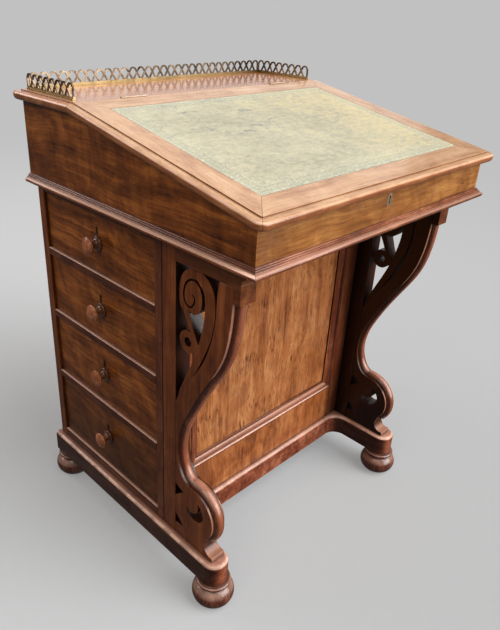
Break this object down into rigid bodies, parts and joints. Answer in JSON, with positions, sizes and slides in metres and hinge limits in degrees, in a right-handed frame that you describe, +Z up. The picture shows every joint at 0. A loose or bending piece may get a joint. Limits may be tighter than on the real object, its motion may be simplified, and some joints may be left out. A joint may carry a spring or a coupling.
{
  "type": "davenport desk",
  "caption": "Small writing desk with a hinged sloping leather lid over a box, a brass gallery, side drawers, pierced scroll brackets and bun feet.",
  "frame": {"origin": "on the floor, under the centre of the desk's bounding box", "axes": "+Z up, -Y towards the writer, -X the side where the drawers open"},
  "size_m": [0.5826, 0.5678, 0.8152],
  "materials": {
    "back_wood": "satin wood",
    "box_veneer": "polished figured veneer",
    "bracket_wood": "polished dark walnut",
    "case_wood": "polished walnut",
    "drawer_veneer": "polished figured veneer",
    "far_side_veneer": "polished veneer",
    "foot_wood": "polished turned walnut",
    "frame_wood": "polished walnut",
    "gallery_brass": "aged brass",
    "hinge_brass": "dark aged brass",
    "knob_wood": "polished turned wood",
    "lid_leather": "worn writing leather",
    "lining_wood": "bare lining wood",
    "lock_brass": "dull brass",
    "moulding_wood": "polished moulding",
    "panel_veneer": "polished figured veneer",
    "plinth_wood": "polished walnut",
    "top_wood": "polished light walnut"
  },
  "bodies": {
    "desk": {"back_panel": "back_wood", "back_posts": "case_wood", "box_back": "back_wood", "box_floor": "lining_wood", "box_front": "box_veneer", "box_side_left": "box_veneer", "box_side_right": "box_veneer", "bracket_fret_left": "bracket_wood", "bracket_fret_right": "bracket_wood", "bracket_leg_left": "bracket_wood", "bracket_leg_right": "bracket_wood", "bracket_rail_left": "bracket_wood", "bracket_rail_right": "bracket_wood", "bracket_roll_left": "moulding_wood", "bracket_roll_right": "moulding_wood", "bracket_stile_left": "bracket_wood", "bracket_stile_right": "bracket_wood", "drawer_blades": "case_wood", "drawer_runners": "lining_wood", "far_side_knobs": "knob_wood", "far_side_panel": "far_side_veneer", "far_side_rails": "case_wood", "foot_back_left": "foot_wood", "foot_back_right": "foot_wood", "foot_front_left": "foot_wood", "foot_front_right": "foot_wood", "front_panel": "panel_veneer", "front_panel_moulding": "moulding_wood", "front_rails": "frame_wood", "front_stile_left": "frame_wood", "front_stile_right": "frame_wood", "gallery": "gallery_brass", "hinge_fixed": "hinge_brass", "ledge_moulding": "moulding_wood", "lid_lock": "lock_brass", "nest": "lining_wood", "plinth_rails": "plinth_wood", "plinth_side_left": "plinth_wood", "plinth_side_right": "plinth_wood", "top_board": "top_wood"},
    "lid": {"lid_board": "top_wood", "lid_leather": "lid_leather", "lid_strike": "lock_brass", "hinge_moving": "hinge_brass"},
    "drawer_1": {"drawer_1_front": "drawer_veneer", "drawer_1_box": "lining_wood", "drawer_1_knob": "knob_wood", "drawer_1_lock": "lock_brass"},
    "drawer_2": {"drawer_2_front": "drawer_veneer", "drawer_2_box": "lining_wood", "drawer_2_knob": "knob_wood", "drawer_2_lock": "lock_brass"},
    "drawer_3": {"drawer_3_front": "drawer_veneer", "drawer_3_box": "lining_wood", "drawer_3_knob": "knob_wood", "drawer_3_lock": "lock_brass"},
    "drawer_4": {"drawer_4_front": "drawer_veneer", "drawer_4_box": "lining_wood", "drawer_4_knob": "knob_wood", "drawer_4_lock": "lock_brass"}
  },
  "joints": [
    {"name": "lid_hinge", "type": "hinge", "parent": "desk", "child": "lid", "pos_m": [0, 0.1065, 0.7905], "axis": [-1, 0, 0], "range_deg": [0, 105]},
    {"name": "drawer_1_slide", "type": "slide", "parent": "desk", "child": "drawer_1", "axis": [-1, 0, 0], "range_m": [0, 0.3]},
    {"name": "drawer_2_slide", "type": "slide", "parent": "desk", "child": "drawer_2", "axis": [-1, 0, 0], "range_m": [0, 0.3]},
    {"name": "drawer_3_slide", "type": "slide", "parent": "desk", "child": "drawer_3", "axis": [-1, 0, 0], "range_m": [0, 0.3]},
    {"name": "drawer_4_slide", "type": "slide", "parent": "desk", "child": "drawer_4", "axis": [-1, 0, 0], "range_m": [0, 0.3]}
  ]
}
